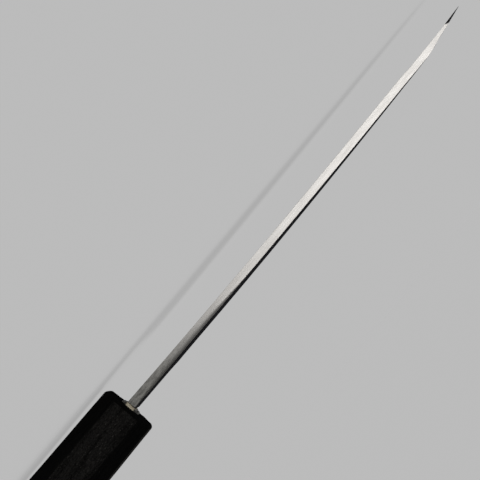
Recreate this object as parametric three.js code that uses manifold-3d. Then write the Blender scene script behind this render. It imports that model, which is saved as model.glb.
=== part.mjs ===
// A right-handed Japanese boning knife (honesuki). The blade has two forge-welded layers and one bevel,
// and its hidden tang is bedded in a one-piece octagonal handle of charred wood.
// Millimetres. The knife lies on its flat side: +X towards the tip, +Y towards the spine, and +Z out of
// the bevelled face. Up to the last lines, x = 0 is the handle's front face, and y = z = 0 its axis.
import * as THREE from 'three';
import { mergeVertices } from 'three/addons/utils/BufferGeometryUtils.js';
import Module from 'manifold-3d';

const wasm = await Module();
wasm.setup();

// ---------------------------------------------------------------- driving dimensions

// Blade outline
const TIP = { x: 171, y: 1.5 };
const HEEL = { x: 24, y: -32 };
const SPINE_Y = 7.5;
const SPINE_STRAIGHT_TO = 90;
const EDGE_SLOPE_AT_HEEL = 0.132;
const EDGE_SLOPE_AT_TIP = 0.364;

// Neck, between the blade and the handle
const SHOULDER_X = 1.3;
const NECK_BOTTOM_Y = -9.3;
const CHOIL_RADIUS = 8;
const CHOIL_LEAN = 1.4;

// Blade thickness, measured from the flat side. It thins down to the blade, and then hardly at all.
const FLAT_SIDE_Z = -1.6;
const SPINE_AT_NECK = 3.15;
const SPINE_AT_BLADE = 2.75;
const SPINE_AT_TIP = 2.66;
const THINNED_BY_X = 49;
const BEVEL_HEIGHT_AT_HEEL = 15;
const BEVEL_HEIGHT_AT_TIP = 9;
const BLADE_STEPS = 22;

// Forge weld: the hard layer lies on the flat side, and stops in the neck
const WELD_Z = -0.5;
const HARD_LAYER_FROM_X = 10;

// Tang
const TANG_END_X = -86;
const TANG_AT_MOUTH = { height: 10.6, thickness: 3 };
const TANG_AT_END = { height: 5.5, thickness: 2.2 };

// Handle
const HANDLE_LENGTH = 130;
const HANDLE_FRONT = { height: 22, width: 19 };
const HANDLE_BUTT = { height: 26, width: 23 };
const CORNER_SHARE = 0.235;
const FRONT_EASE = 1.5;
const BUTT_EASE = 2;

// Slot for the tang, and what fills it
const SLOT = { height: 14, width: 6.8, depth: 90 };
const SEAL_DEPTH = 2;
const SEAL_BEAD_HEIGHT = 1.2;
const SEAL_BEAD_NARROWS = 1.2;
const SEAL_BEAD_STEPS = 4;
const SLOT_END_STEPS = 8;

// Room past the blade's outline for the cutting solids
const PAST = 12;

// ---------------------------------------------------------------- small tools

// A closed solid through convex sections, lowest x first, each going round from +Y to +Z.
function loft(sections) {
  const corners = sections[0].length;
  const last = (sections.length - 1) * corners;
  const index = [];
  for (let i = 0; i + 1 < sections.length; i += 1) {
    for (let j = 0; j < corners; j += 1) {
      const a = i * corners + j;
      const b = i * corners + ((j + 1) % corners);
      index.push(a, b, b + corners, a, b + corners, a + corners);
    }
  }
  for (let j = 1; j + 1 < corners; j += 1) {
    index.push(0, j + 1, j);
    index.push(last, last + j, last + j + 1);
  }
  const geometry = new THREE.BufferGeometry().setFromPoints(sections.flat());
  geometry.setIndex(index);
  return geometry;
}

// The closed solid of a geometry, for cutting and joining.
function solid(geometry) {
  geometry.deleteAttribute('normal');
  geometry.deleteAttribute('uv');
  const merged = mergeVertices(geometry);
  return new wasm.Manifold(new wasm.Mesh({
    numProp: 3,
    vertProperties: merged.attributes.position.array,
    triVerts: Uint32Array.from(merged.index.array),
  }));
}

// A box given by its lowest and highest corners, as a solid.
function boxSolid(low, high) {
  const size = high.clone().sub(low);
  const box = new THREE.BoxGeometry(size.x, size.y, size.z);
  const middle = low.clone().add(high).multiplyScalar(0.5);
  return solid(box.translate(middle.x, middle.y, middle.z));
}

// A named part made from a solid.
function part(name, shape, colour, roughness, metalness) {
  const { vertProperties, triVerts } = shape.getMesh();
  const geometry = new THREE.BufferGeometry();
  geometry.setAttribute('position', new THREE.BufferAttribute(vertProperties, 3));
  geometry.setIndex(new THREE.BufferAttribute(triVerts, 1));
  geometry.computeVertexNormals();
  const material = new THREE.MeshStandardMaterial({ color: colour, roughness, metalness });
  const mesh = new THREE.Mesh(geometry, material);
  mesh.name = name;
  return mesh;
}

const point = (x, y, z) => new THREE.Vector3(x, y, z);
const mix = THREE.MathUtils.lerp;

// ---------------------------------------------------------------- blade

// The cutting edge is one shallow curve. Its middle handle is where the two end slopes meet.
function edgeCurve() {
  const rise = TIP.y - HEEL.y - EDGE_SLOPE_AT_TIP * (TIP.x - HEEL.x);
  const run = rise / (EDGE_SLOPE_AT_HEEL - EDGE_SLOPE_AT_TIP);
  return new THREE.QuadraticBezierCurve(
    new THREE.Vector2(HEEL.x, HEEL.y),
    new THREE.Vector2(HEEL.x + run, HEEL.y + EDGE_SLOPE_AT_HEEL * run),
    new THREE.Vector2(TIP.x, TIP.y),
  );
}

// The blade's outline on the spine, neck and heel. It runs on past the cutting edge, which the wedge
// below gives.
function bladeOutline() {
  const shape = new THREE.Shape();
  const tipRun = TIP.x - SPINE_STRAIGHT_TO;
  const dropStart = { x: TIP.x - tipRun * 0.12, y: SPINE_Y - 1.9 };
  const tipSlope = (TIP.y - dropStart.y) / (TIP.x - dropStart.x);
  const heelTopX = HEEL.x - CHOIL_LEAN;
  const heelTopY = NECK_BOTTOM_Y - CHOIL_RADIUS;
  const heelSlope = (HEEL.y - heelTopY) / CHOIL_LEAN;
  const below = HEEL.y - PAST;
  shape.moveTo(SHOULDER_X, SPINE_Y);
  shape.lineTo(SPINE_STRAIGHT_TO, SPINE_Y);
  shape.bezierCurveTo(
    SPINE_STRAIGHT_TO + tipRun * 0.37, SPINE_Y,
    dropStart.x, dropStart.y,
    TIP.x, TIP.y,
  );
  shape.lineTo(TIP.x + PAST, TIP.y + tipSlope * PAST);
  shape.lineTo(TIP.x + PAST, below);
  shape.lineTo(HEEL.x + (below - HEEL.y) / heelSlope, below);
  shape.lineTo(heelTopX, heelTopY);
  shape.absarc(heelTopX - CHOIL_RADIUS, heelTopY, CHOIL_RADIUS, 0, Math.PI / 2, false);
  shape.lineTo(SHOULDER_X, NECK_BOTTOM_Y);
  return shape;
}

// How thick the spine is at a distance from the handle.
function spineThickness(x) {
  if (x < THINNED_BY_X) {
    return mix(SPINE_AT_NECK, SPINE_AT_BLADE, Math.max(x, 0) / THINNED_BY_X);
  }
  return mix(SPINE_AT_BLADE, SPINE_AT_TIP, (x - THINNED_BY_X) / (TIP.x - THINNED_BY_X));
}

// The blade's wedge: flat on one side, and on the other flat down to the bevel, then straight to the
// edge. It runs on past both ends of the edge, and above the spine.
function bladeWedge() {
  const edge = edgeCurve();
  const sections = [];
  const addSection = (x, edgeY) => {
    const along = (x - HEEL.x) / (TIP.x - HEEL.x);
    const faceZ = FLAT_SIDE_Z + spineThickness(x);
    const ridgeY = edgeY + mix(BEVEL_HEIGHT_AT_HEEL, BEVEL_HEIGHT_AT_TIP, along);
    sections.push([
      point(x, SPINE_Y + PAST, FLAT_SIDE_Z),
      point(x, SPINE_Y + PAST, faceZ),
      point(x, ridgeY, faceZ),
      point(x, edgeY, FLAT_SIDE_Z),
    ]);
  };
  for (const x of [SHOULDER_X - PAST, SHOULDER_X]) {
    addSection(x, HEEL.y - EDGE_SLOPE_AT_HEEL * (HEEL.x - x));
  }
  for (const at of edge.getPoints(BLADE_STEPS)) {
    addSection(at.x, at.y);
  }
  addSection(TIP.x + PAST, TIP.y + EDGE_SLOPE_AT_TIP * PAST);
  return solid(loft(sections));
}

// The tang, a flat spike that starts just inside the neck.
function tang() {
  const insideNeck = 1;
  const sections = [
    { x: TANG_END_X, ...TANG_AT_END },
    { x: SHOULDER_X + insideNeck, ...TANG_AT_MOUTH },
  ].map(({ x, height, thickness }) => [
    point(x, height / 2, -thickness / 2),
    point(x, height / 2, thickness / 2),
    point(x, -height / 2, thickness / 2),
    point(x, -height / 2, -thickness / 2),
  ]);
  return solid(loft(sections));
}

function blade() {
  const slab = new THREE.ExtrudeGeometry(bladeOutline(), {
    depth: 2 * PAST,
    bevelEnabled: false,
    curveSegments: 14,
  }).translate(0, 0, -PAST);
  const whole = bladeWedge().intersect(solid(slab)).add(tang());
  const hardLayer = boxSolid(
    point(HARD_LAYER_FROM_X, HEEL.y - PAST, -PAST),
    point(TIP.x + PAST, SPINE_Y + PAST, WELD_Z),
  );
  return { hard: whole.intersect(hardLayer), soft: whole.subtract(hardLayer) };
}

// ---------------------------------------------------------------- handle

// One octagonal section, smaller all round by ease.
function octagon(x, { height, width }, ease) {
  const top = height / 2 - ease;
  const side = width / 2 - ease;
  const topHalf = width / 2 - CORNER_SHARE * width;
  const sideHalf = height / 2 - CORNER_SHARE * width;
  return [
    point(x, top, topHalf - ease * 0.4),
    point(x, sideHalf - ease * 0.4, side),
    point(x, -sideHalf + ease * 0.4, side),
    point(x, -top, topHalf - ease * 0.4),
    point(x, -top, -topHalf + ease * 0.4),
    point(x, -sideHalf + ease * 0.4, -side),
    point(x, sideHalf - ease * 0.4, -side),
    point(x, top, -topHalf + ease * 0.4),
  ];
}

// The handle's full section at a distance behind its front face.
function handleSize(back) {
  const share = back / HANDLE_LENGTH;
  return {
    height: mix(HANDLE_FRONT.height, HANDLE_BUTT.height, share),
    width: mix(HANDLE_FRONT.width, HANDLE_BUTT.width, share),
  };
}

// A section with two straight sides and round ends, smaller all round by narrower.
function slotSection(x, narrower) {
  const radius = SLOT.width / 2 - narrower;
  const straight = (SLOT.height - SLOT.width) / 2;
  const ring = [];
  for (const end of [1, -1]) {
    for (let i = 0; i <= SLOT_END_STEPS; i += 1) {
      const angle = Math.PI * (i / SLOT_END_STEPS - 0.5);
      const y = end * (straight + radius * Math.cos(angle));
      ring.push(point(x, y, end * radius * Math.sin(angle)));
    }
  }
  return ring;
}

function handle() {
  const buttStart = HANDLE_LENGTH - BUTT_EASE;
  const outside = loft([
    octagon(-HANDLE_LENGTH, handleSize(HANDLE_LENGTH), BUTT_EASE),
    octagon(-buttStart, handleSize(buttStart), 0),
    octagon(-FRONT_EASE, handleSize(FRONT_EASE), 0),
    octagon(0, handleSize(0), FRONT_EASE),
  ]);
  const slot = loft([slotSection(-SLOT.depth, 0), slotSection(PAST, 0)]);
  return solid(outside).subtract(solid(slot));
}

function adhesive() {
  const bed = loft([slotSection(-SLOT.depth, 0), slotSection(-SEAL_DEPTH, 0)]);
  return solid(bed).subtract(tang());
}

// The seal fills the mouth of the slot, and stands out of it as a low domed bead.
function seal() {
  const sections = [slotSection(-SEAL_DEPTH, 0)];
  for (let i = 0; i <= SEAL_BEAD_STEPS; i += 1) {
    const angle = (Math.PI / 2) * (i / SEAL_BEAD_STEPS);
    const narrower = SEAL_BEAD_NARROWS * (1 - Math.cos(angle));
    sections.push(slotSection(SEAL_BEAD_HEIGHT * Math.sin(angle), narrower));
  }
  return solid(loft(sections)).subtract(tang());
}

// ---------------------------------------------------------------- the knife

const layers = blade();
const knife = new THREE.Group();
knife.add(
  part('blade_hard_steel', layers.hard, 0xc4c5c2, 0.3, 1),
  part('blade_soft_iron', layers.soft, 0x4a4a4b, 0.5, 0.9),
  part('handle_body', handle(), 0x161514, 0.85, 0),
  part('tang_adhesive', adhesive(), 0xb8a67c, 0.5, 0),
  part('mouth_seal', seal(), 0xd6c8a2, 0.5, 0),
);

// The knife lies on z = 0, with the middle of its length and height at the origin.
const extent = new THREE.Box3().setFromObject(knife);
const middle = extent.getCenter(new THREE.Vector3());
knife.position.set(-middle.x, -middle.y, -extent.min.z);

export default knife;
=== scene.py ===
import math

import bmesh
import bpy
import numpy as np
from mathutils import Matrix, Vector
from mathutils.geometry import delaunay_2d_cdt


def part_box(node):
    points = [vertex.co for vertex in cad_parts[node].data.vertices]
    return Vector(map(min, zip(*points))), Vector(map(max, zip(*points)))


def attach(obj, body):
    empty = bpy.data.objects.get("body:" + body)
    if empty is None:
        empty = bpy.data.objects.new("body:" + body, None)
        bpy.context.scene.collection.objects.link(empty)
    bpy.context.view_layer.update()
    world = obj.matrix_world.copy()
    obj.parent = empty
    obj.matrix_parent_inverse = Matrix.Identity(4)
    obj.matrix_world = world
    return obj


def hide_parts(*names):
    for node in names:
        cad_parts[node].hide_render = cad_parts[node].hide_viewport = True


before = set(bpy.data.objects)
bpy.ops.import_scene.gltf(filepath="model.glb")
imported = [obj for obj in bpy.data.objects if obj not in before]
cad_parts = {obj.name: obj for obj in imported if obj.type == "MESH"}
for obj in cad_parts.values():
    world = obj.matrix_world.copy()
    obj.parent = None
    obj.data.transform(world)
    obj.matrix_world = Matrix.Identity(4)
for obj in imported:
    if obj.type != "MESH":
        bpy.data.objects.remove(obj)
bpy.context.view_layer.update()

# A Japanese boning knife, lying on its flat side. Shapes are worked out in millimetres in the knife's own
# frame: x = 0 is the handle's front face and grows towards the tip, +y is the spine's side, +z is the
# bevelled face's side, and y = z = 0 is the handle's axis. The CAD boxes give how far the blade, tang, seal
# and handle reach.

MM = 0.001
handle_low, handle_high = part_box("handle_body")
hard_low, hard_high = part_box("blade_hard_steel")
iron_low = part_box("blade_soft_iron")[0]
seal_low, seal_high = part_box("mouth_seal")
HANDLE_MIDDLE = (handle_low + handle_high) / 2
ORIGIN = Vector((handle_high.x, HANDLE_MIDDLE.y, HANDLE_MIDDLE.z))


def knife_mm(corner):
    """A point of the row frame in the knife's own millimetres."""
    return (corner - ORIGIN) / MM


# ------------------------------------------------------------------ sizes

# Blade outline
TIP_X, SPINE_Y, WELD_Z = knife_mm(hard_high)
HARD_FROM_X, HEEL_Y, FLAT_Z = knife_mm(hard_low)
TIP_Y = 1.5
HEEL_X = 24.0
EDGE_SLOPE_AT_HEEL = 0.132
EDGE_SLOPE_AT_TIP = 0.364
SPINE_STRAIGHT_TO = 90.0
SPINE_DROP_HANDLES = (0.37, 0.88)  # along the run from the straight spine to the tip
SPINE_DROP_Y = SPINE_Y - 1.9
SHOULDER_X = 1.3
NECK_BOTTOM_Y = -9.3
CHOIL_RADIUS = 8.0
CHOIL_LEAN = 1.4

# Blade thickness
SPINE_AT_NECK = 3.15
SPINE_AT_BLADE = 2.75
SPINE_AT_TIP = 2.66
THINNED_BY_X = 49.0
BEVEL_AT_HEEL = 15.0
BEVEL_AT_TIP = 9.0
HEEL_SWEEP = 5.0  # how much higher the ridge is at the heel
HEEL_SWEEP_ENDS_X = 54.0
POINT_THINNING = (  # share of the thickness lost, and the x between which it goes
    (0.1, 140.0, 146.0),
    (0.24, 152.0, 162.0),
)
MICRO_BEVEL = 0.45
MICRO_BEVEL_RISE = 0.14

# Corners of the blade's back and edges
BEVELLED_ROUND = 0.2
FLAT_ROUND = 0.06
ROUND_LIMIT = 0.3  # the most that a rounding takes of the thickness
SHOULDER_ROUND_SHARE = 0.25  # of the usual rounding, at the shoulder
TIP_ROUND_SHARE = 0.4  # of the usual rounding, along the spine's last stretch
TIP_ROUND_RANGE = (142.0, 150.0)
FINGER_EASE = (2.0, 0.33)  # how much further the spine's corner is eased near the neck, across and down
FINGER_EASE_STARTS = (-2.0, 22.0)
FINGER_EASE_ENDS = (30.0, 60.0)

# Lengthwise curve
BOW = 0.755
BOW_ENDS_X = 152.0
POINT_LIFT = 0.3  # how far the blade stands back from that curve just behind its point
POINT_LIFT_STARTS = (139.5, 146.0)
POINT_LIFT_ENDS = (160.0, 171.0)

# Finish of the spine, with painted shade towards the neck and a painted dark reflection at the tip
DULL_AND_PAINTED_SHADE_TO_X = 60.0
PAINTED_DARK_TIP_FROM = 164.8
PAINTED_DARK_TIP_SLANT = 1.6  # how much sooner the black begins on the flat side
PAINTED_DARK_TIP_FADE = (-1.5, 1.0)

# Blade mesh: how far its points lie apart, and in shares of that, how far they keep from its lines
BLADE_STEP = 0.8
GRID_FROM_OUTLINE = 0.55
GRID_FROM_CREASE = 0.45
CREASE_FROM_OUTLINE = 0.3

# Hollow grind of the flat side
HOLLOW_DEPTH = 0.22
HOLLOW_FROM, HOLLOW_TO = 27.0, 150.0
HOLLOW_FADE_IN, HOLLOW_FADE_OUT = 14.0, 40.0
HOLLOW_EDGE_RIM = 1.3
HOLLOW_SPINE_RIM = 2.6

# Tang
TANG_END_X = knife_mm(iron_low).x
TANG_MOUTH = (10.6, 3.0)  # height and thickness
TANG_END = (5.5, 2.2)
TANG_CORNER = 0.35

# Handle
HANDLE_LENGTH = (handle_high.x - handle_low.x) / MM
HANDLE_FRONT = (22.0, 19.0)  # height and width
HANDLE_BUTT = (26.0, 23.0)
CORNER_SHARE = 0.235  # share of the width that each narrow facet cuts off
FRONT_EASE = 1.5
BUTT_EASE = 2.0
FACET_ROUND = 0.55
FACET_POINTS = (36, 22, 46, 22) * 2  # in each facet, going round from the one on the spine's side
ARC_POINTS = 5  # in each rounded corner
GRAIN_SECTIONS = 380
RING_CENTRE = (-46.0, 30.0)  # middle of the tree's growth rings, in y and z
RING_SPACING = 2.1
SLOT_HEIGHT = 14.0
SLOT_WIDTH = 6.8
SLOT_DEPTH = 90.0
SLOT_RIM_WIDER = 0.15

# Seal
SEAL_TOP = knife_mm(seal_high).x
SEAL_BOTTOM = knife_mm(seal_low).x
SEAL_SLOPE = 0.45  # how much lower the filler stands on the bevelled side
SEAL_DRAWN_UP = 0.05  # how much higher than the CAD seal it is drawn against the blade
SEAL_INTO_TANG = 0.05
SEAL_RIM = 0.04  # how far it stands out at the slot's rim
# painted shade: the filler turns dark beside the blade's middle
SEAL_PAINTED_SHADE = (1.35, 1.8)  # how far beside the middle it turns dark


# ------------------------------------------------------------------ small tools

def smooth(low, high, x):
    """It eases from 0 up to 1 while x goes from low to high."""
    t = np.clip((x - low) / (high - low), 0, 1)
    return t * t * (3 - 2 * t)


def lattice_noise(points, seed):
    """Smooth value noise in 0..1 at an array of 3-D points, one lattice cell per unit."""
    cell = np.floor(points).astype(np.int64)
    part = points - cell
    part = part * part * (3 - 2 * part)
    total = 0.0
    for corner in range(8):
        step = np.array([corner & 1, corner >> 1 & 1, corner >> 2 & 1])
        at = cell + step
        mixed = at[:, 0] * 374761393 + at[:, 1] * 668265263 + at[:, 2] * 2147483647 + seed * 974711
        mixed = (mixed ^ (mixed >> 13)) * 1274126177
        value = ((mixed ^ (mixed >> 16)) & 0xFFFFFF) / 0xFFFFFF
        weight = np.prod(np.where(step == 1, part, 1 - part), axis=1)
        total = total + value * weight
    return total


def new_object(name, points, faces):
    """A smooth-shaded mesh object in the row frame from points in the knife's millimetres."""
    mesh = bpy.data.meshes.new(name)
    placed = np.asarray(points, float) * MM + np.array(ORIGIN)
    mesh.from_pydata(placed.tolist(), [], faces)
    mesh.polygons.foreach_set("use_smooth", [True] * len(mesh.polygons))
    mesh.update()
    made = bpy.data.objects.new(name, mesh)
    bpy.context.scene.collection.objects.link(made)
    return made


def mesh_points(mesh):
    """A mesh's points in the knife's millimetres."""
    flat = np.empty(len(mesh.vertices) * 3)
    mesh.vertices.foreach_get("co", flat)
    return (flat.reshape(-1, 3) - np.array(ORIGIN)) / MM


def mark(made, name, values):
    """Stores one number for each of a mesh's points, for its material to read."""
    stored = made.data.attributes.new(name, "FLOAT", "POINT")
    stored.data.foreach_set("value", np.asarray(values, np.float32).reshape(-1))


def merge_close(mesh, distance):
    """Joins points that nearly coincide, drops the slivers that leaves, and turns all faces outwards."""
    work = bmesh.new()
    work.from_mesh(mesh)
    bmesh.ops.remove_doubles(work, verts=work.verts, dist=distance)
    bmesh.ops.dissolve_degenerate(work, edges=work.edges, dist=distance)
    bmesh.ops.recalc_face_normals(work, faces=work.faces)
    work.to_mesh(mesh)
    work.free()


def boolean(target, tool, operation):
    """The mesh that target becomes when tool is cut from it, joined to it or kept in common with it."""
    step = target.modifiers.new("cut", "BOOLEAN")
    step.operation = operation
    step.solver = "EXACT"
    step.object = tool
    seen = target.evaluated_get(bpy.context.evaluated_depsgraph_get())
    result = bpy.data.meshes.new_from_object(seen)
    target.modifiers.remove(step)
    return result


def loft(rings):
    """Points and faces through rings of equal length, each going round from +y to +z, with closed ends."""
    count = len(rings[0])
    points = np.concatenate(rings)
    faces = []
    for i in range(len(rings) - 1):
        for j in range(count):
            a = i * count + j
            b = i * count + (j + 1) % count
            faces.append((a, b, b + count, a + count))
    last = (len(rings) - 1) * count
    faces.append(tuple(range(count - 1, -1, -1)))
    faces.append(tuple(range(last, last + count)))
    return points, faces


# ------------------------------------------------------------------ blade shape

def edge_y(x):
    """Height of the cutting edge, a shallow quadratic curve from the heel to the tip."""
    rise = TIP_Y - HEEL_Y - EDGE_SLOPE_AT_TIP * (TIP_X - HEEL_X)
    middle_x = HEEL_X + rise / (EDGE_SLOPE_AT_HEEL - EDGE_SLOPE_AT_TIP)
    middle_y = HEEL_Y + EDGE_SLOPE_AT_HEEL * (middle_x - HEEL_X)
    a = HEEL_X - 2 * middle_x + TIP_X
    b = 2 * (middle_x - HEEL_X)
    c = HEEL_X - np.clip(x, HEEL_X, TIP_X)
    t = (-b + np.sqrt(b * b - 4 * a * c)) / (2 * a)
    inside = HEEL_Y * (1 - t) ** 2 + 2 * middle_y * t * (1 - t) + TIP_Y * t ** 2
    return inside + np.minimum(x - HEEL_X, 0) * EDGE_SLOPE_AT_HEEL


def spine_drop(count):
    """Points of the spine's curve from where it leaves the straight down to the tip."""
    run = TIP_X - SPINE_STRAIGHT_TO
    first, second = (SPINE_STRAIGHT_TO + run * share for share in SPINE_DROP_HANDLES)
    t = np.linspace(0, 1, count)[:, None]
    corners = [(SPINE_STRAIGHT_TO, SPINE_Y), (first, SPINE_Y), (second, SPINE_DROP_Y), (TIP_X, TIP_Y)]
    shares = [(1 - t) ** 3, 3 * (1 - t) ** 2 * t, 3 * (1 - t) * t ** 2, t ** 3]
    return sum(share * np.array(corner) for share, corner in zip(shares, corners))


SPINE_CURVE = spine_drop(600)


def spine_y(x):
    return np.interp(x, SPINE_CURVE[:, 0], SPINE_CURVE[:, 1])


def along_blade(x):
    return (x - HEEL_X) / (TIP_X - HEEL_X)


def ridge_y(x):
    """Height of the ridge between the bevelled side's flat and its bevel, swept up a little at the heel."""
    sweep = HEEL_SWEEP * (1 - smooth(HEEL_X, HEEL_SWEEP_ENDS_X, x))
    return edge_y(x) + BEVEL_AT_HEEL + (BEVEL_AT_TIP - BEVEL_AT_HEEL) * along_blade(x) + sweep


def spine_thickness(x):
    """It thins down to the blade, and then hardly at all."""
    return np.interp(x, [0, THINNED_BY_X, TIP_X], [SPINE_AT_NECK, SPINE_AT_BLADE, SPINE_AT_TIP])


def bow(x):
    """How far the blade stands off straight, towards its bevelled side."""
    middle = BOW_ENDS_X / 2
    lift = POINT_LIFT * smooth(*POINT_LIFT_STARTS, x) * (1 - smooth(*POINT_LIFT_ENDS, x))
    return np.where(x > 0, BOW * (1 - ((x - middle) / middle) ** 2) + lift, 0)


def bevelled_z(x, y):
    """The bevelled side's surface."""
    thickness = spine_thickness(x)
    low, top = edge_y(x), ridge_y(x)
    up = np.clip((y - low) / (top - low), 0, 1)
    micro = MICRO_BEVEL_RISE * np.clip((y - low) / MICRO_BEVEL, 0, 1)
    above = np.clip((y - low - MICRO_BEVEL) / (top - low - MICRO_BEVEL), 0, 1)
    kept = 1 - sum(share * smooth(first, last, x) for share, first, last in POINT_THINNING)
    return FLAT_Z + np.where(up > 0, micro + (thickness - MICRO_BEVEL_RISE) * above * kept, 0)


def hollow_span(x):
    """The lowest and highest y of the flat side's hollow grind."""
    return edge_y(x) + HOLLOW_EDGE_RIM, spine_y(x) - HOLLOW_SPINE_RIM


def flat_side_z(x, y):
    """The flat side's surface, ground slightly hollow inside a flat rim."""
    low, high = hollow_span(x)
    height = np.maximum(high - low, 0.1)
    across = np.clip((y - low) / height, 0, 1)
    starts = smooth(HOLLOW_FROM, HOLLOW_FROM + HOLLOW_FADE_IN, x)
    ends = 1 - smooth(HOLLOW_TO - HOLLOW_FADE_OUT, HOLLOW_TO, x)
    return FLAT_Z + HOLLOW_DEPTH * 4 * across * (1 - across) * starts * ends


def blade_outline(step):
    """The blade's outline, going round from the shoulder's bottom by the heel, edge and tip to the spine.
    The second array is 1 on the cutting edge, where both sides meet."""
    def line(a, b):
        count = max(int(np.hypot(b[0] - a[0], b[1] - a[1]) / step), 1)
        return np.linspace(a, b, count, endpoint=False)

    heel_top = np.array([HEEL_X - CHOIL_LEAN, NECK_BOTTOM_Y - CHOIL_RADIUS])
    angle = np.linspace(math.pi / 2, 0, int(CHOIL_RADIUS * 1.6 / step), endpoint=False)
    choil = np.stack([
        heel_top[0] - CHOIL_RADIUS + CHOIL_RADIUS * np.cos(angle),
        heel_top[1] + CHOIL_RADIUS * np.sin(angle),
    ], axis=1)
    edge_x = np.linspace(HEEL_X, TIP_X, int((TIP_X - HEEL_X) / step))
    edge = np.stack([edge_x, edge_y(edge_x)], axis=1)
    back = spine_drop(int((TIP_X - SPINE_STRAIGHT_TO) / step))[::-1][1:]
    parts = [
        line((SHOULDER_X, NECK_BOTTOM_Y), (heel_top[0] - CHOIL_RADIUS, NECK_BOTTOM_Y)),
        choil,
        line(heel_top, (HEEL_X, HEEL_Y)),
        edge,
        back,
        line((SPINE_STRAIGHT_TO, SPINE_Y), (SHOULDER_X, SPINE_Y))[1:],
        line((SHOULDER_X, SPINE_Y), (SHOULDER_X, NECK_BOTTOM_Y)),
    ]
    on_edge = np.concatenate([np.full(len(p), p is edge) for p in parts])
    return np.concatenate(parts), on_edge


def outward(loop):
    """The outward direction at each point of an outline that goes round anticlockwise."""
    ahead = np.roll(loop, -1, axis=0) - loop
    behind = loop - np.roll(loop, 1, axis=0)
    ahead /= np.linalg.norm(ahead, axis=1)[:, None]
    behind /= np.linalg.norm(behind, axis=1)[:, None]
    both = ahead + behind
    both /= np.linalg.norm(both, axis=1)[:, None]
    return np.stack([both[:, 1], -both[:, 0]], axis=1)


def inside(loop, points):
    """Which points lie inside a closed outline."""
    hits = np.zeros(len(points), bool)
    for (ax, ay), (bx, by) in zip(loop, np.roll(loop, -1, axis=0)):
        if ay == by:
            continue
        crosses = (ay > points[:, 1]) != (by > points[:, 1])
        at = ax + (points[:, 1] - ay) * (bx - ax) / (by - ay)
        hits ^= crosses & (points[:, 0] < at)
    return hits


def distance_to(line, points):
    """Each point's distance to the nearest corner of a finely stepped line."""
    best = np.full(len(points), 1e9)
    for at in line:
        best = np.minimum(best, np.hypot(points[:, 0] - at[0], points[:, 1] - at[1]))
    return best


def side_mesh(loop, creases, step):
    """Triangles over an outline, with points along each crease line. The outline's points come first.
    Points are left out where they would crowd the outline or a crease."""
    low, high = loop.min(axis=0), loop.max(axis=0)
    grid = np.stack(np.meshgrid(
        np.arange(low[0] + step / 2, high[0], step),
        np.arange(low[1] + step / 2, high[1], step),
    ), axis=-1).reshape(-1, 2)
    grid = grid[inside(loop, grid)]
    clear = distance_to(loop, grid) > step * GRID_FROM_OUTLINE
    kept_creases = []
    for crease in creases:
        crease = crease[inside(loop, crease)]
        crease = crease[distance_to(loop, crease) > step * CREASE_FROM_OUTLINE]
        clear &= distance_to(crease, grid) > step * GRID_FROM_CREASE
        kept_creases.append(crease)
    count = len(loop)
    edges = [(i, (i + 1) % count) for i in range(count)]
    points = [loop]
    for crease in kept_creases:
        first = sum(map(len, points))
        last = first + len(crease) - 1
        points.append(crease)
        edges += [(i, i + 1) for i in range(first, last)]
        for end, corner in ((first, crease[0]), (last, crease[-1])):
            nearest = int(np.argmin(np.hypot(*(loop - corner).T)))
            if np.hypot(*(loop[nearest] - corner)) < 2 * step:
                edges.append((end, nearest))
    points.append(grid[clear])
    flat = np.concatenate(points)
    out = delaunay_2d_cdt([Vector(p) for p in flat], edges, [tuple(range(count))], 1, 1e-7)
    where, faces, sources = np.array([tuple(v) for v in out[0]]), out[2], out[3]
    if len(where) != len(flat):
        raise RuntimeError("the blade's outline and creases cross")
    order = np.array([s[0] for s in sources])
    renumbered = [tuple(int(order[i]) for i in face) for face in faces]
    return flat, renumbered


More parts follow.
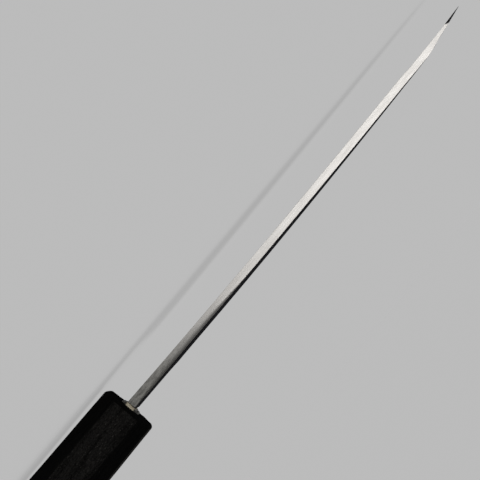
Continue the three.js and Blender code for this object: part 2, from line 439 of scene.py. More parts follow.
def blade_shell():
    """The whole blade as one closed mesh: its two sides, and rounded walls between them."""
    step = BLADE_STEP
    loop, on_edge = blade_outline(step)
    away = outward(loop)
    thickness = np.where(on_edge, 0, bevelled_z(*loop.T) - flat_side_z(*loop.T))
    x, y = loop.T
    usual = SHOULDER_ROUND_SHARE + (1 - SHOULDER_ROUND_SHARE) * smooth(SHOULDER_X, SHOULDER_X + 1, x)
    usual *= 1 - (1 - TIP_ROUND_SHARE) * smooth(*TIP_ROUND_RANGE, x) * (away[:, 1] > 0)
    finger = smooth(*FINGER_EASE_STARTS, x) * (1 - smooth(*FINGER_EASE_ENDS, x)) * (y > SPINE_Y - 0.5)
    round_bevelled = np.minimum(BEVELLED_ROUND, thickness * ROUND_LIMIT) * usual
    round_flat = np.minimum(FLAT_ROUND, thickness * ROUND_LIMIT) * usual
    across, down = (round_bevelled + ease * finger for ease in FINGER_EASE)
    arc = np.linspace(0, math.pi / 2, 9)
    rows = []
    for angle in arc:
        at = loop - away * (down * (1 - math.sin(angle)))[:, None]
        inner = loop - away * down[:, None]
        rows.append(np.column_stack([at, bevelled_z(*inner.T) - across * (1 - math.cos(angle))]))
    for angle in arc[::-2]:
        at = loop - away * (round_flat * (1 - math.sin(angle)))[:, None]
        inner = loop - away * round_flat[:, None]
        rows.append(np.column_stack([at, flat_side_z(*inner.T) + round_flat * (1 - math.cos(angle))]))
    wall_top, wall_bottom = rows[len(arc) - 1], rows[len(arc)]
    held = [wall_top + (wall_bottom - wall_top) * share for share in (0.05, 0.95)]
    rows[len(arc):len(arc)] = held  # they keep the wall's shading flat right up to its corners
    for row in rows:
        row[on_edge, 2] = FLAT_Z
    count = len(loop)
    points = list(rows)
    faces = []
    for i in range(len(rows) - 1):
        for j in range(count):
            k = (j + 1) % count
            faces.append((i * count + j, i * count + k, (i + 1) * count + k, (i + 1) * count + j))
    x = np.arange(HEEL_X - 3, TIP_X, step)
    ridge = np.stack([x, ridge_y(x)], axis=1)
    micro = np.stack([x, edge_y(x) + MICRO_BEVEL], axis=1)
    hollow_x = x[(x > HOLLOW_FROM) & (x < HOLLOW_TO)]
    hollow = [np.stack([hollow_x, y], axis=1) for y in hollow_span(hollow_x)]
    for row, creases, surface, turned in (
        (0, [ridge, micro], bevelled_z, False),
        (len(rows) - 1, hollow, flat_side_z, True),
    ):
        flat, triangles = side_mesh(rows[row][:, :2], creases, step)
        first = sum(map(len, points))
        added = flat[count:]
        points.append(np.column_stack([added, surface(*added.T)]))

        def index(i):
            return row * count + i if i < count else first + i - count

        for triangle in triangles:
            face = tuple(index(i) for i in triangle)
            faces.append(face[::-1] if turned else face)
    return np.concatenate(points), faces


def tang_rings():
    """The tang's section with its corners cut, at its end and just inside the neck."""
    rings = []
    for x, (height, thickness) in (
        (TANG_END_X, TANG_END),
        (SHOULDER_X + 1.0, TANG_MOUTH),
    ):
        y, z, cut = height / 2, thickness / 2, TANG_CORNER
        corners = [
            (y, z - cut), (y - cut, z), (-y + cut, z), (-y, z - cut),
            (-y, -z + cut), (-y + cut, -z), (y - cut, -z), (y, -z + cut),
        ]
        rings.append(np.array([(x, *corner) for corner in corners]))
    return rings


def weld_cutter():
    """Everything on the hard layer's side of the forge weld, whose surface wanders slightly."""
    past = 6.0
    xs = np.linspace(HARD_FROM_X, TIP_X + past, 90)
    ys = np.linspace(HEEL_Y - past, SPINE_Y + past, 24)
    points, faces = [], []
    for level in (0, 1):
        for x in xs:
            for y in ys:
                long_wave = 0.07 * math.sin(x / 5.3)
                middle_wave = 0.06 * math.sin(x / 2.3 + y / 9)
                wander = long_wave + middle_wave + 0.04 * math.sin(x / 1.1 + 2)
                away = smooth(HARD_FROM_X, HARD_FROM_X + 10, x) * (1 - smooth(SPINE_Y - 8, SPINE_Y - 1, y))
                points.append((x, y, WELD_Z - wander * away * 0.9 if level else FLAT_Z - past))
    rows, columns = len(xs), len(ys)
    top = rows * columns
    for i in range(rows - 1):
        for j in range(columns - 1):
            a = i * columns + j
            faces.append((a, a + 1, a + columns + 1, a + columns))
            faces.append((top + a, top + a + columns, top + a + columns + 1, top + a + 1))
    for i in range(rows - 1):
        for j, flip in ((0, False), (columns - 1, True)):
            a = i * columns + j
            face = (a, a + columns, top + a + columns, top + a)
            faces.append(face[::-1] if flip else face)
    for j in range(columns - 1):
        for i, flip in ((0, True), (rows - 1, False)):
            a = i * columns + j
            face = (a, a + 1, top + a + 1, top + a)
            faces.append(face[::-1] if flip else face)
    return np.array(points), faces


def make_blade():
    """The two layers: the shell and the tang joined, then parted along the forge weld."""
    shell = new_object("blade_shell", *blade_shell())
    merge_close(shell.data, 2e-6)
    spike = new_object("tang_spike", *loft(tang_rings()))
    cutter = new_object("weld_cutter", *weld_cutter())
    merge_close(cutter.data, 1e-7)
    joined = bpy.data.objects.new("joined", boolean(shell, spike, "UNION"))
    bpy.context.scene.collection.objects.link(joined)
    hard = bpy.data.objects.new("blade_edge_layer", boolean(joined, cutter, "INTERSECT"))
    iron = bpy.data.objects.new("blade_iron_layer", boolean(joined, cutter, "DIFFERENCE"))
    for made in (hard, iron):
        bpy.context.scene.collection.objects.link(made)
    for helper in (shell, spike, cutter, joined):
        bpy.data.objects.remove(helper)
    return hard, iron


# ------------------------------------------------------------------ handle shape

def handle_size(back):
    """Height and width of the handle's section at a distance behind its front face."""
    share = back / HANDLE_LENGTH
    return [front + (butt - front) * share for front, butt in zip(HANDLE_FRONT, HANDLE_BUTT)]


def octagon_ring(x, ease):
    """One octagonal section with rounded corners, moved in by ease all round."""
    height, width = handle_size(-x)
    cut = CORNER_SHARE * width
    shrink = ease * math.tan(math.pi / 8)
    top, side = height / 2 - ease, width / 2 - ease
    top_half, side_half = width / 2 - cut - shrink, height / 2 - cut - shrink
    corners = np.array([
        (top, -top_half), (top, top_half), (side_half, side), (-side_half, side),
        (-top, top_half), (-top, -top_half), (-side_half, -side), (side_half, -side),
    ])
    trim = FACET_ROUND * math.tan(math.pi / 8)
    ring = []
    for i in range(8):
        here, after = corners[i], corners[(i + 1) % 8]
        along = (after - here) / np.linalg.norm(after - here)
        start, end = here + along * trim, after - along * trim
        for share in np.linspace(0, 1, FACET_POINTS[i]):
            ring.append(start + (end - start) * share)
        away = np.array([-along[1], along[0]])
        centre = end + away * (-FACET_ROUND) * np.sign(np.dot(away, end))
        first = end - centre
        for step in range(1, ARC_POINTS + 1):
            angle = math.pi / 4 * step / (ARC_POINTS + 1)
            ring.append(centre + np.array([
                first[0] * math.cos(angle) - first[1] * math.sin(angle),
                first[0] * math.sin(angle) + first[1] * math.cos(angle),
            ]))
    return np.column_stack([np.full(len(ring), x), np.array(ring)])


def slot_ring(x, directions, wider=0.0):
    """The tang slot's outline, one point in each direction from the middle."""
    straight = (SLOT_HEIGHT - SLOT_WIDTH) / 2
    radius = SLOT_WIDTH / 2 + wider
    c, s = np.abs(np.cos(directions)), np.abs(np.sin(directions))
    on_side = radius / np.maximum(s, 1e-9)
    on_end = straight * c + np.sqrt(np.maximum(radius ** 2 - (straight * s) ** 2, 0))
    reach = np.where(on_side * c <= straight, on_side, on_end)
    return np.column_stack([
        np.full(len(directions), x), reach * np.cos(directions), reach * np.sin(directions)
    ])


def wood_depth(points):
    """How deep the char and the open grain cut into the wood at each point, in millimetres."""
    x, y, z = points.T
    wander = lattice_noise(np.column_stack([x / 34, y / 14, z / 14]), 3)
    ring = np.hypot(y - RING_CENTRE[0], z - RING_CENTRE[1]) / RING_SPACING + 1.3 * wander
    phase = ring - np.floor(ring)
    early = smooth(0.0, 0.1, phase) * (1 - smooth(0.3, 0.62, phase))
    pores = lattice_noise(np.column_stack([x / 5.5, y / 0.5, z / 0.5]), 5)
    short = lattice_noise(np.column_stack([x / 1.8, y / 0.42, z / 0.42]), 9)
    broad = lattice_noise(np.column_stack([x / 9, y / 3, z / 3]), 11)
    groove = early * (0.04 + 0.15 * smooth(0.35, 0.8, pores))
    return groove + 0.05 * smooth(0.5, 0.9, short) + 0.05 * broad


def brushed_and_painted_lit_share(along):
    """How much each point is worked by the brush and painted lighter than the narrow facets' painted shade,
    for rings at the given x: fully on the four broad facets and on the butt, not on the narrow facets, and
    not where the front was burnt."""
    broad = []
    for i, count in enumerate(FACET_POINTS):
        broad += [1 - i % 2] * count + [0.5] * ARC_POINTS
    at_butt = 1 - smooth(0, BUTT_EASE, along + HANDLE_LENGTH)
    behind_front = along <= -FRONT_EASE
    return np.maximum(broad, at_butt[:, None]) * behind_front[:, None]


def handle_rings():
    """The handle's sections from the butt's middle, over the outside, to the bottom of the slot, and
    how many of them the grain cuts into."""
    quarter = np.linspace(0, math.pi / 2, 9)
    butt = [(BUTT_EASE * (1 - math.sin(a)), BUTT_EASE * (1 - math.cos(a))) for a in quarter[::-1]]
    front = [(FRONT_EASE * (1 - math.sin(a)), FRONT_EASE * (1 - math.cos(a))) for a in quarter]
    body = np.linspace(-HANDLE_LENGTH + BUTT_EASE, -FRONT_EASE, GRAIN_SECTIONS)[1:-1]
    outside = [octagon_ring(x - HANDLE_LENGTH, ease) for x, ease in butt]
    outside += [octagon_ring(x, 0) for x in body]
    outside += [octagon_ring(-x, ease) for x, ease in front]
    butt_face = [outside[0] * (1, share, share) for share in np.linspace(0.02, 1, 30, endpoint=False)]
    directions = np.arctan2(outside[-1][:, 2], outside[-1][:, 1])
    rim = slot_ring(0.0, directions, SLOT_RIM_WIDER)
    front_face = [outside[-1] + (rim - outside[-1]) * share for share in np.linspace(0, 1, 18)[1:]]
    slot = [slot_ring(x, directions) for x in (-0.25, -1.0, -SLOT_DEPTH)]
    rings = butt_face + outside + front_face + slot
    return rings, len(rings) - len(slot) - 1


def make_handle():
    """The handle, with its grain cut into everything but the slot and the butt's middle."""
    rings, grained = handle_rings()
    points, faces = loft(rings)
    grid = points.reshape(len(rings), -1, 3)
    round_step = np.roll(grid, -1, axis=1) - np.roll(grid, 1, axis=1)
    normal = np.cross(round_step, np.gradient(grid, axis=0))
    normal /= np.maximum(np.linalg.norm(normal, axis=2), 1e-9)[:, :, None]
    depth = wood_depth(points).reshape(grid.shape[:2])
    depth[grained:] = 0
    depth[:3] = 0
    moved = grid - normal * depth[:, :, None]
    made = new_object("handle_wood", moved.reshape(-1, 3), faces)
    mark(made, "groove", depth)
    # painted shade: the narrow facets are left at 0, to be painted darker than the broad ones
    mark(made, "brushed_and_painted_lit", brushed_and_painted_lit_share(grid[:, 0, 0]))
    return made


# ------------------------------------------------------------------ seal shape

def seal_height(y, z):
    """How far the filler stands out of the slot: nearly to the blade's shoulder, and low beside it."""
    beside = np.maximum(np.abs(z) - SPINE_AT_NECK / 2, 0)
    lumps = lattice_noise(np.column_stack([y / 1.1, z / 0.8, y * 0]), 23)
    wing = 0.22 + 0.2 * lumps
    lip = 0.25 * np.exp(-((np.abs(z) - 3.0) / 0.3) ** 2)
    against_blade = SEAL_TOP + SEAL_DRAWN_UP - SEAL_SLOPE * smooth(-0.4, 1.6, z)
    return wing + lip + (against_blade - wing) * np.exp(-(beside / 0.75) ** 2)


def make_seal():
    """The cream filler: drawn up round the tang nearly to the shoulder, and thin at the slot's rim."""
    count = 180
    directions = np.linspace(0, 2 * math.pi, count, endpoint=False)
    outer = slot_ring(0.0, directions)
    half_height, half_width = (size / 2 - SEAL_INTO_TANG for size in TANG_MOUTH)
    c, s = np.abs(np.cos(directions)), np.abs(np.sin(directions))
    reach = np.minimum(half_height / np.maximum(c, 1e-9), half_width / np.maximum(s, 1e-9))
    inner = np.column_stack([np.zeros(count), reach * np.cos(directions), reach * np.sin(directions)])
    rings = []
    for share in np.linspace(0, 1, 14) ** 1.6:
        ring = outer + (inner - outer) * share
        rise = math.sin(math.pi / 2 * min(share / 0.12, 1))
        ring[:, 0] = SEAL_RIM + (seal_height(ring[:, 1], ring[:, 2]) - SEAL_RIM) * rise
        rings.append(ring)
    low_inner, low_outer = inner.copy(), outer.copy()
    low_inner[:, 0] = SEAL_BOTTOM
    low_outer[:, 0] = SEAL_BOTTOM
    rings += [low_inner, low_outer]
    faces = []
    for i in range(len(rings)):
        after = (i + 1) % len(rings)
        for j in range(count):
            k = (j + 1) % count
            faces.append((i * count + j, i * count + k, after * count + k, after * count + j))
    points = np.concatenate(rings)
    made = new_object("seal_bead", points, faces)
    # painted shade: the filler is painted dark beside the blade's middle
    mark(made, "seal_painted_shade", smooth(*SEAL_PAINTED_SHADE, np.abs(points[:, 2])))
    return made


# ------------------------------------------------------------------ materials

class Nodes:
    """A new material with one principled shader, and short ways to feed it."""

    def __init__(self, name):
        self.made = bpy.data.materials.new(name)
        self.made.use_nodes = True
        self.tree = self.made.node_tree
        self.shader = self.tree.nodes["Principled BSDF"]
        self.place = self.tree.nodes.new("ShaderNodeTexCoord").outputs["Object"]

    def node(self, kind, **inputs):
        made = self.tree.nodes.new("ShaderNode" + kind)
        for name, value in inputs.items():
            self.put(made.inputs[name.replace("_", " ")], value)
        return made

    def put(self, socket, value):
        if isinstance(value, bpy.types.NodeSocket):
            self.tree.links.new(value, socket)
        else:
            socket.default_value = value

    def noise(self, millimetres, detail=3.0, roughness=0.5):
        """Noise in 0..1 whose features are about this many millimetres along x, y and z."""
        scaled = self.node("Mapping", Vector=self.place, Scale=[1000 / size for size in millimetres])
        where = scaled.outputs[0]
        made = self.node("TexNoise", Vector=where, Scale=1.0, Detail=detail, Roughness=roughness)
        return made.outputs["Fac"]

    def ramp(self, value, *stops):
        """A value or colour that follows another, through (position, grey or colour) stops."""
        made = self.tree.nodes.new("ShaderNodeValToRGB")
        while len(made.color_ramp.elements) < len(stops):
            made.color_ramp.elements.new(1.0)
        for element, (at, colour) in zip(made.color_ramp.elements, stops):
            element.position = at
            element.color = (*colour, 1) if isinstance(colour, tuple) else (colour, colour, colour, 1)
        self.put(made.inputs[0], value)
        return made.outputs["Color"]

    def mix(self, share, a, b):
        made = self.tree.nodes.new("ShaderNodeMix")
        made.data_type = "RGBA"
        for socket, value in ((made.inputs[0], share), (made.inputs[6], a), (made.inputs[7], b)):
            self.put(socket, (*value, 1) if isinstance(value, tuple) else value)
        return made.outputs[2]

    def math(self, what, a, b):
        made = self.tree.nodes.new("ShaderNodeMath")
        made.operation = what
        self.put(made.inputs[0], a)
        self.put(made.inputs[1], b)
        return made.outputs[0]

    def attribute(self, name):
        made = self.tree.nodes.new("ShaderNodeAttribute")
        made.attribute_name = name
        return made.outputs["Fac"]

    def bump(self, height, millimetres, after=None):
        made = self.node("Bump", Height=height, Strength=1.0, Distance=millimetres * MM)
        if after is not None:
            self.put(made.inputs["Normal"], after)
        return made.outputs[0]

    def finish(self, colour, roughness, normal, metallic=0.0, specular=0.5):
        self.put(self.shader.inputs["Base Color"], colour)
        self.put(self.shader.inputs["Roughness"], roughness)
        self.put(self.shader.inputs["Normal"], normal)
        self.put(self.shader.inputs["Metallic"], metallic)
        self.shader.inputs["Specular IOR Level"].default_value = specular
        return self.made


def ground_metal(name, tint, roughness, brushing, haze):
    """Ground steel: fine lines left by the stone along brushing, and a slow cloudiness."""
    n = Nodes(name)
    lines = n.noise(brushing, 2.0, 0.6)
    fine = n.noise([size * 0.35 for size in brushing], 2.0, 0.6)
    cloud = n.noise((7, 4, 4), 3.0)
    shade = n.ramp(cloud, (0.3, tuple(c * (1 - haze) for c in tint)), (0.7, tint))
    both = n.math("ADD", n.math("MULTIPLY", lines, 0.6), n.math("MULTIPLY", fine, 0.4))
    rough = n.math("ADD", n.math("MULTIPLY", both, 0.16), roughness - 0.08)
    rough = n.math("ADD", rough, n.math("MULTIPLY", cloud, haze * 0.3))
    return n.finish(shade, rough, n.bump(both, 0.006), metallic=1.0)


def spine_satin():
    """The spine, finished with lengthwise brushing: rougher and painted a mottled grey towards the neck, a
    painted shade, and painted black where dark is 1, a painted dark reflection at the tip.
    """
    n = Nodes("spine_satin")
    lines = n.noise((7, 0.18, 0.18), 3.0, 0.6)
    cloud = n.noise((6, 1.4, 1.4), 3.0)
    mottle = n.noise((1.6, 0.7, 0.7), 4.0, 0.65)
    streaks = n.noise((22, 0.55, 0.55), 2.0, 0.5)
    lit = n.math("ADD", n.math("MULTIPLY", cloud, 0.4), n.math("MULTIPLY", streaks, 0.6))
    bright = n.ramp(lit, (0.35, (0.7, 0.675, 0.645)), (0.65, (0.84, 0.815, 0.785)))
    # painted shade: the spine is painted a darker mottled grey towards the neck
    grey = n.ramp(mottle, (0.3, (0.16, 0.157, 0.146)), (0.7, (0.40, 0.392, 0.366)))
    steel = n.mix(n.attribute("dull_and_painted_shade"), bright, grey)
    # painted dark reflection: the tip is painted black, with no bare metal left to reflect
    ragged = n.math("ADD", n.attribute("dark"), n.math("MULTIPLY", mottle, 0.2))
    black = n.ramp(ragged, (0.5, 0.0), (0.7, 1.0))
    colour = n.mix(black, steel, (0.02, 0.02, 0.022))
    rough = n.math("ADD", n.math("MULTIPLY", lines, 0.14), 0.27)
    rough = n.math("ADD", rough, n.math("MULTIPLY", n.attribute("dull_and_painted_shade"), 0.08))
    rough = n.math("ADD", rough, n.math("MULTIPLY", black, 0.3))
    bare = n.math("SUBTRACT", 1.0, black)
    normal = n.bump(lines, 0.003, n.bump(mottle, 0.0008))
    return n.finish(colour, rough, normal, metallic=bare, specular=0.1)


def forge_scale():
    """Black forge scale: matt, pitted and mottled, worn through to bare iron where bare is 1."""
    n = Nodes("forge_scale")
    mottle = n.noise((3.2, 2.2, 2.2), 5.0, 0.6)
    pits = n.noise((0.7, 0.6, 0.6), 4.0, 0.65)
    broad = n.noise((11, 8, 8), 2.0)
    black = n.ramp(
        mottle,
        (0.3, (0.007, 0.007, 0.008)),
        (0.62, (0.015, 0.015, 0.017)),
        (0.8, (0.032, 0.03, 0.028)),
    )
    rubbed = n.math("ADD", n.attribute("bare"), n.math("MULTIPLY", pits, 0.5))
    worn = n.ramp(rubbed, (0.72, 0.0), (0.95, 1.0))
    colour = n.mix(worn, black, (0.32, 0.31, 0.30))
    rough = n.math("ADD", n.math("MULTIPLY", pits, 0.25), 0.68)
    normal = n.bump(pits, 0.05, n.bump(broad, 0.25))
    return n.finish(colour, rough, normal, metallic=worn, specular=0.0)


def charred_wood():
    """Charred wood, worked with a brush: black in the burnt pores, greyer on the broad facets and the butt,
    with the narrow facets painted darker as painted shade, and flecked where the charring is rubbed."""
    n = Nodes("charred_wood")
    streaks = n.noise((6, 0.5, 0.5), 4.0, 0.6)
    grit = n.noise((0.7, 0.3, 0.3), 4.0, 0.7)
    flecks = n.noise((1.1, 0.38, 0.38), 3.0, 0.6)
    depth = n.math("MULTIPLY", n.attribute("groove"), 0.5)
    both = n.math("ADD", n.math("MULTIPLY", streaks, 0.2), n.math("MULTIPLY", grit, 0.8))
    height = n.math("SUBTRACT", both, depth)
    tone = n.ramp(
        height,
        (0.25, (0.003, 0.0029, 0.0028)),
        (0.42, (0.009, 0.0086, 0.0082)),
        (0.6, (0.026, 0.0245, 0.023)),
    )
    # painted shade: the narrow facets are painted darker than the broad ones
    painted_shade_char = n.ramp(height, (0.25, (0.0015, 0.0015, 0.0016)), (0.6, (0.006, 0.0058, 0.0056)))
    facet = n.mix(n.attribute("brushed_and_painted_lit"), painted_shade_char, tone)
    rubbed = n.math("ADD", flecks, n.math("MULTIPLY", n.attribute("brushed_and_painted_lit"), 0.12))
    colour = n.mix(n.ramp(rubbed, (0.74, 0.0), (0.82, 1.0)), facet, (0.06, 0.056, 0.052))
    rough = n.math("SUBTRACT", 0.98, n.math("MULTIPLY", height, 0.3))
    return n.finish(colour, rough, n.bump(grit, 0.09, n.bump(streaks, 0.12)), specular=0.0)


def filler():
    """Cream filler, matt and slightly patchy, and painted dark beside the blade's middle, a painted shade.
    """
    n = Nodes("cream_filler")
    patches = n.noise((1.4, 1.4, 1.4), 4.0)
    grain = n.noise((0.3, 0.3, 0.3), 3.0)
    cream = n.ramp(
        patches,
        (0.3, (0.84, 0.72, 0.5)),
        (0.6, (0.93, 0.84, 0.64)),
        (0.8, (0.96, 0.9, 0.74)),
    )
    # painted shade beside the blade's middle
    colour = n.mix(n.attribute("seal_painted_shade"), cream, (0.05, 0.047, 0.04))
    rough = n.math("ADD", n.math("MULTIPLY", grain, 0.3), 0.5)
    return n.finish(colour, rough, n.bump(grain, 0.03), specular=0.2)


def resin():
    """The resin that beds the tang, amber and slightly cloudy."""
    n = Nodes("bedding_resin")
    cloud = n.noise((4, 3, 3), 3.0)
    colour = n.ramp(cloud, (0.3, (0.34, 0.25, 0.12)), (0.7, (0.5, 0.4, 0.22)))
    rough = n.math("ADD", n.math("MULTIPLY", cloud, 0.2), 0.35)
    return n.finish(colour, rough, n.bump(cloud, 0.1))


HARD_STEEL = ground_metal("hard_steel", (0.74, 0.735, 0.72), 0.26, (9, 0.25, 0.25), 0.05)
SOFT_IRON = ground_metal("soft_iron", (0.50, 0.495, 0.485), 0.42, (6, 0.3, 0.3), 0.16)
SPINE_STEEL = spine_satin()
SCALE = forge_scale()
CHARRED = charred_wood()


# ------------------------------------------------------------------ which surface is which

WALL, SCALE_FACE, BEVEL, MICRO, RIM, HOLLOW, WELD, SHOULDER = range(8)


def blade_regions(mesh):
    """The kind of surface that each face of a blade piece belongs to."""
    centre = np.empty(len(mesh.polygons) * 3)
    mesh.polygons.foreach_get("center", centre)
    centre = (centre.reshape(-1, 3) - np.array(ORIGIN)) / MM
    normal = np.empty(len(mesh.polygons) * 3)
    mesh.polygons.foreach_get("normal", normal)
    normal = normal.reshape(-1, 3)
    x, y, z = centre.T
    kind = np.full(len(centre), WALL)
    up, down = normal[:, 2] > 0.8, normal[:, 2] < -0.8
    over_corner = (normal[:, 2] > 0.6) & (z > WELD_Z)
    kind[over_corner & (y > ridge_y(x))] = SCALE_FACE
    kind[up & (y <= ridge_y(x))] = BEVEL
    kind[up & (y <= edge_y(x) + MICRO_BEVEL) & (x > HEEL_X - 1)] = MICRO
    low, high = hollow_span(x)
    in_hollow = (y > low) & (y < high) & (x > HOLLOW_FROM) & (x < HOLLOW_TO)
    kind[down] = RIM
    kind[down & in_hollow] = HOLLOW
    near_weld = np.abs(z - WELD_Z) < 0.2
    behind_surface = bevelled_z(x, y) - z > 0.02
    kind[near_weld & (up | down) & behind_surface & (x > HARD_FROM_X - 0.01)] = WELD
    kind[(np.abs(normal[:, 0]) > 0.99) & (np.abs(x - HARD_FROM_X) < 0.02)] = WELD
    kind[x < SHOULDER_X + 0.01] = SHOULDER
    return kind


def dress_blade(made, slots, choose):
    """Gives a blade piece its materials by surface, its crisp lines, its worn places, the rougher neck end
    with painted shade, and the painted dark reflection at the tip.
    Then it bows the piece, because all of these are found on the straight blade."""
    mesh = made.data
    kind = blade_regions(mesh)
    mesh.materials.clear()
    for slot in slots:
        mesh.materials.append(slot)
    mesh.polygons.foreach_set("material_index", choose(kind).astype(np.int32))
    mesh.polygons.foreach_set("use_smooth", [True] * len(mesh.polygons))
    sides = {}
    for polygon in mesh.polygons:
        for edge in polygon.edge_keys:
            sides.setdefault(edge, []).append(kind[polygon.index])
    crisp_pairs = ((SCALE_FACE, BEVEL), (BEVEL, MICRO), (MICRO, RIM), (RIM, HOLLOW))
    crisp = {frozenset(pair) for pair in crisp_pairs}
    sharp = []
    for edge in mesh.edges:
        met = set(sides.get(tuple(sorted(edge.vertices)), ()))
        cut_off = len(met) > 1 and not met.isdisjoint((WELD, SHOULDER))
        sharp.append(frozenset(met) in crisp or cut_off)
    mesh.attributes.new("sharp_edge", "BOOLEAN", "EDGE").data.foreach_set("value", sharp)
    points = mesh_points(mesh)
    x, y, z = points.T
    by_spine = 1 - smooth(0.1, 0.5, spine_y(x) - y)
    by_ridge = 1 - smooth(0.0, 0.8, np.abs(y - ridge_y(x)))
    mark(made, "bare", 0.3 * by_spine + 0.5 * by_ridge)
    # painted shade: towards the neck the spine is rougher and painted darker
    mark(made, "dull_and_painted_shade", 1 - smooth(SHOULDER_X, DULL_AND_PAINTED_SHADE_TO_X, x))
    # painted dark reflection: where the spine's tip is painted black
    across = np.clip((z - FLAT_Z) / np.maximum(bevelled_z(x, y) - FLAT_Z, 0.05), 0, 1)
    painted_dark_from = PAINTED_DARK_TIP_FROM - PAINTED_DARK_TIP_SLANT * (1 - across)
    mark(made, "dark", smooth(*PAINTED_DARK_TIP_FADE, x - painted_dark_from))
    points[:, 2] += bow(x)
    mesh.vertices.foreach_set("co", (points * MM + np.array(ORIGIN)).reshape(-1))


def choose_iron(kind):
    """Which of the iron layer's materials each kind of surface has: scale, ground iron or spine steel."""
    chosen = np.full(len(kind), 2)
    chosen[(kind == SCALE_FACE) | (kind == RIM) | (kind == SHOULDER)] = 0
    chosen[kind == BEVEL] = 1
    return chosen


def choose_hard(kind):
    """Which of the hard layer's materials each kind of surface has: ground steel or spine steel."""
    chosen = np.full(len(kind), 1)
    chosen[(kind == BEVEL) | (kind == MICRO) | (kind == RIM) | (kind == HOLLOW)] = 0
    return chosen


hard_layer, iron_layer = make_blade()
dress_blade(iron_layer, (SCALE, SOFT_IRON, SPINE_STEEL), choose_iron)
dress_blade(hard_layer, (HARD_STEEL, SPINE_STEEL), choose_hard)

handle_wood = make_handle()
handle_wood.data.materials.append(CHARRED)
seal_bead = make_seal()
seal_bead.data.materials.append(filler())
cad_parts["tang_adhesive"].data.materials.clear()
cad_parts["tang_adhesive"].data.materials.append(resin())

for piece, node, slot in (
    (hard_layer, "blade_hard_steel", "hard_steel"),
    (iron_layer, "blade_soft_iron", "soft_iron"),
    (handle_wood, "handle_body", "charred_wood"),
    (seal_bead, "mouth_seal", "seal"),
):
    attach(piece, "root")
    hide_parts(node)


# ------------------------------------------------------------------ camera, floor and light

CAMERA_DISTANCE = 1.05
CAMERA_TILT = math.radians(3.1)
KNIFE_SLOPE_IN_VIEW = math.radians(50.06)
FIELD_WIDTH = 0.1573
SENSOR = 36.0
AIM = Vector((65.5, SPINE_Y, -7.45)) * MM + ORIGIN

back = Vector((0, math.cos(CAMERA_TILT), math.sin(CAMERA_TILT)))
along = Vector((1, 0, 0))
across = Vector((0, -math.sin(CAMERA_TILT), math.cos(CAMERA_TILT)))
right = along * math.cos(KNIFE_SLOPE_IN_VIEW) + across * math.sin(KNIFE_SLOPE_IN_VIEW)
up = along * math.sin(KNIFE_SLOPE_IN_VIEW) - across * math.cos(KNIFE_SLOPE_IN_VIEW)
camera_data = bpy.data.cameras.new("photo_view")
camera_data.sensor_width = SENSOR
camera_data.lens = SENSOR * CAMERA_DISTANCE / FIELD_WIDTH
camera_data.clip_end = 60
camera = bpy.data.objects.new("photo_view", camera_data)
turned = Matrix((right, up, back)).transposed().to_4x4()
camera.matrix_world = Matrix.Translation(AIM + back * CAMERA_DISTANCE) @ turned
bpy.context.scene.collection.objects.link(camera)
bpy.context.scene.camera = camera

FLOOR_HALF = 14.0
FLOOR_GREY = 0.15
FLOOR_GLOW = 0.384  # it makes the floor as bright as the sky round the horizon
floor_mesh = bpy.data.meshes.new("floor")
floor_mesh.from_pydata([
    (-FLOOR_HALF, -FLOOR_HALF, 0), (FLOOR_HALF, -FLOOR_HALF, 0),
    (FLOOR_HALF, FLOOR_HALF, 0), (-FLOOR_HALF, FLOOR_HALF, 0),
], [], [(0, 1, 2, 3)])
floor = bpy.data.objects.new("floor", floor_mesh)
bpy.context.scene.collection.objects.link(floor)
paper = Nodes("pale_paper")
tooth = paper.bump(paper.noise((2, 2, 2)), 0.02)
paper.finish((FLOOR_GREY, FLOOR_GREY, FLOOR_GREY, 1), 0.9, tooth, specular=0.0)
paper.shader.inputs["Emission Color"].default_value = (1, 1, 1, 1)
paper.shader.inputs["Emission Strength"].default_value = FLOOR_GLOW
floor.data.materials.append(paper.made)

# The panels light the knife only, so that the floor stays even
lit = bpy.data.collections.new("lit_by_panels")
for piece in (hard_layer, iron_layer, handle_wood, seal_bead):
    lit.objects.link(piece)


def panel(name, at, aimed_at, size, power):
    """A rectangular light that shines from one point towards another."""
    light = bpy.data.lights.new(name, "AREA")
    light.shape = "RECTANGLE"
    light.size, light.size_y = size
    light.energy = power
    made = bpy.data.objects.new(name, light)
    made.location = at
    made.rotation_euler = (Vector(at) - Vector(aimed_at)).to_track_quat("Z", "Y").to_euler()
    made.visible_camera = False
    made.light_linking.receiver_collection = lit
    bpy.context.scene.collection.objects.link(made)


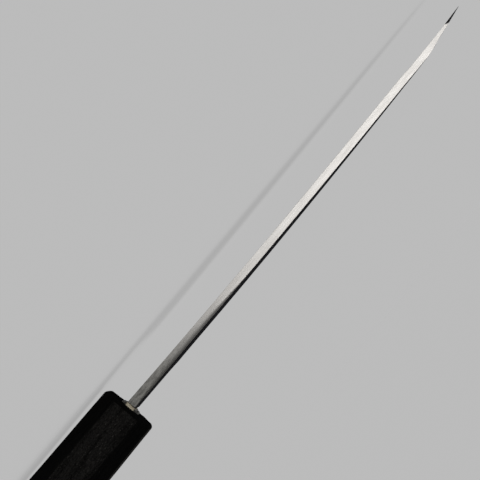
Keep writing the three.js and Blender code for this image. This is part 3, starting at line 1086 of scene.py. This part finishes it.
# A wide sun for soft light from above and behind. Its reflection is left out, because it makes bright dots
# along the crisp corners.
sun = bpy.data.lights.new("overhead", "SUN")
sun.energy = 1.6
sun.angle = math.radians(35)
overhead = bpy.data.objects.new("overhead", sun)
overhead.rotation_euler = Vector((0.2, -0.9, 0.8)).to_track_quat("Z", "Y").to_euler()
overhead.visible_glossy = False
bpy.context.scene.collection.objects.link(overhead)

# A long low panel on the spine's side, from a third of the way along the blade to well past the tip, which
# the spine reflects
PANEL_X = ORIGIN.x + 0.205
panel("by_the_tip", (PANEL_X, ORIGIN.y + 0.3, 0.035), (PANEL_X, 0, 0.012), (0.30, 0.07), 0.137)

world = bpy.data.worlds.new("studio")
world.use_nodes = True
tree = world.node_tree
bpy.context.scene.world = world


def sky_node(kind, operation=None, **values):
    """A node of the sky. Each input is given by its name, or by its number after an underscore."""
    made = tree.nodes.new("ShaderNode" + kind)
    if operation:
        made.operation = operation
    for name, value in values.items():
        socket = made.inputs[int(name[1:]) if name[1:].isdigit() else name.replace("_", " ")]
        if isinstance(value, bpy.types.NodeSocket):
            tree.links.new(value, socket)
        else:
            socket.default_value = value
    return made


# The sky is pale round the horizon, brighter overhead, and dark in front except near the horizon
PALE = 0.5
OVERHEAD = 0.7
DARK_FRONT = 0.06
direction = sky_node("SeparateXYZ", _0=sky_node("TexCoord").outputs["Generated"])
towards_front, upwards = direction.outputs[1], direction.outputs[2]
front = sky_node("MapRange", Value=towards_front, From_Min=0.0, From_Max=0.5)
above = sky_node("MapRange", Value=upwards, From_Min=0.03, From_Max=0.1)
high = sky_node("MapRange", Value=upwards, From_Min=0.1, From_Max=0.9, To_Min=PALE, To_Max=OVERHEAD)
dark = sky_node("Math", "MULTIPLY", _0=front.outputs[0], _1=above.outputs[0])
open_sky = sky_node("Mix", _0=above.outputs[0], _2=PALE, _3=high.outputs[0])
shaded = sky_node("Mix", _0=dark.outputs[0], _2=open_sky.outputs[0], _3=DARK_FRONT)
tree.links.new(shaded.outputs[0], tree.nodes["Background"].inputs["Color"])
bpy.context.scene.view_settings.view_transform = "Standard"
